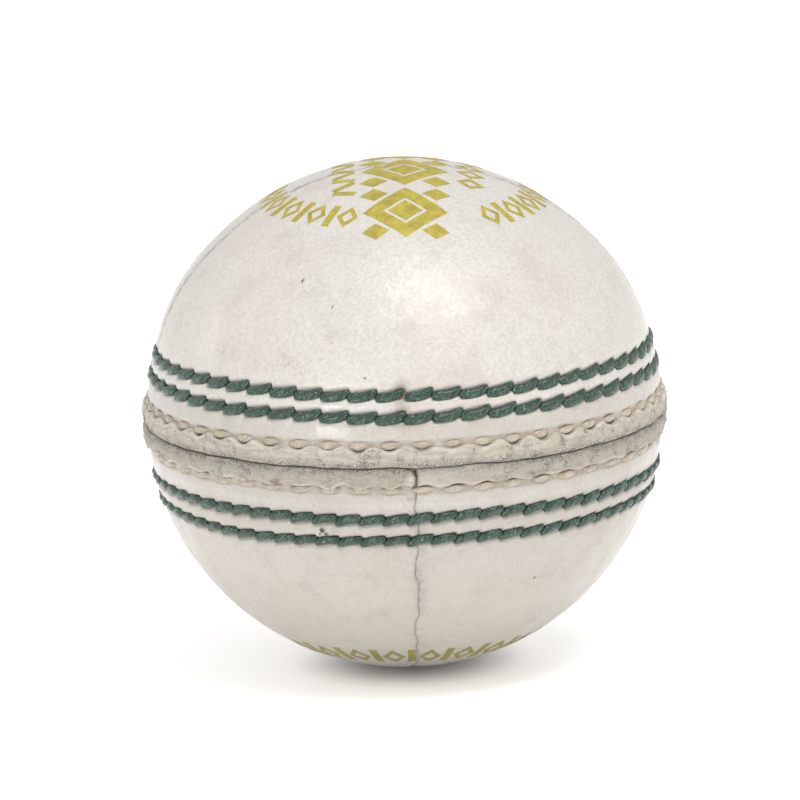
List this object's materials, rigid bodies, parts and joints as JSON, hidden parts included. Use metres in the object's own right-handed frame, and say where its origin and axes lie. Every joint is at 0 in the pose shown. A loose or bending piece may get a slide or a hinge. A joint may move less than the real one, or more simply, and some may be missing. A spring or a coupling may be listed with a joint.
{
  "type": "cricket ball",
  "caption": "White leather cricket ball of two cups in quarters, with a raised main seam, stitched rows, and a wound cork and wool core.",
  "frame": {"origin": "the ball's centre, midway between its poles", "axes": "XY is the plane of the main seam; +Z points to the pole of the upper cup; -Y is the front, where the lower quarter seam meets the main seam"},
  "size_m": [0.0728, 0.0728, 0.0712],
  "materials": {
    "cover_leather": "satin",
    "lining_leather": "matte",
    "green_thread": "satin",
    "linen_thread": "matte",
    "backing_thread": "matte",
    "seam_thread": "matte",
    "wool_yarn": "matte",
    "cork_wafer": "matte",
    "cork_nucleus": "matte"
  },
  "bodies": {
    "root": {"cork_layer_1": "cork_wafer", "cork_layer_2": "cork_wafer", "cork_layer_3": "cork_wafer", "cork_layer_4": "cork_wafer", "cork_nucleus": "cork_nucleus", "lower_closing_stitches": "linen_thread", "lower_inner_row_backing_thread": "backing_thread", "lower_inner_row_stitches": "green_thread", "lower_left_quarter": "cover_leather", "lower_lining_strip": "lining_leather", "lower_outer_row_backing_thread": "backing_thread", "lower_outer_row_stitches": "green_thread", "lower_quarter_seam_stitches": "seam_thread", "lower_right_quarter": "cover_leather", "upper_back_quarter": "cover_leather", "upper_closing_stitches": "linen_thread", "upper_front_quarter": "cover_leather", "upper_inner_row_backing_thread": "backing_thread", "upper_inner_row_stitches": "green_thread", "upper_lining_strip": "lining_leather", "upper_outer_row_backing_thread": "backing_thread", "upper_outer_row_stitches": "green_thread", "upper_quarter_seam_stitches": "seam_thread", "winding_layer_1": "wool_yarn", "winding_layer_2": "wool_yarn", "winding_layer_3": "wool_yarn", "winding_layer_4": "wool_yarn", "winding_layer_5": "wool_yarn"}
  },
  "joints": []
}
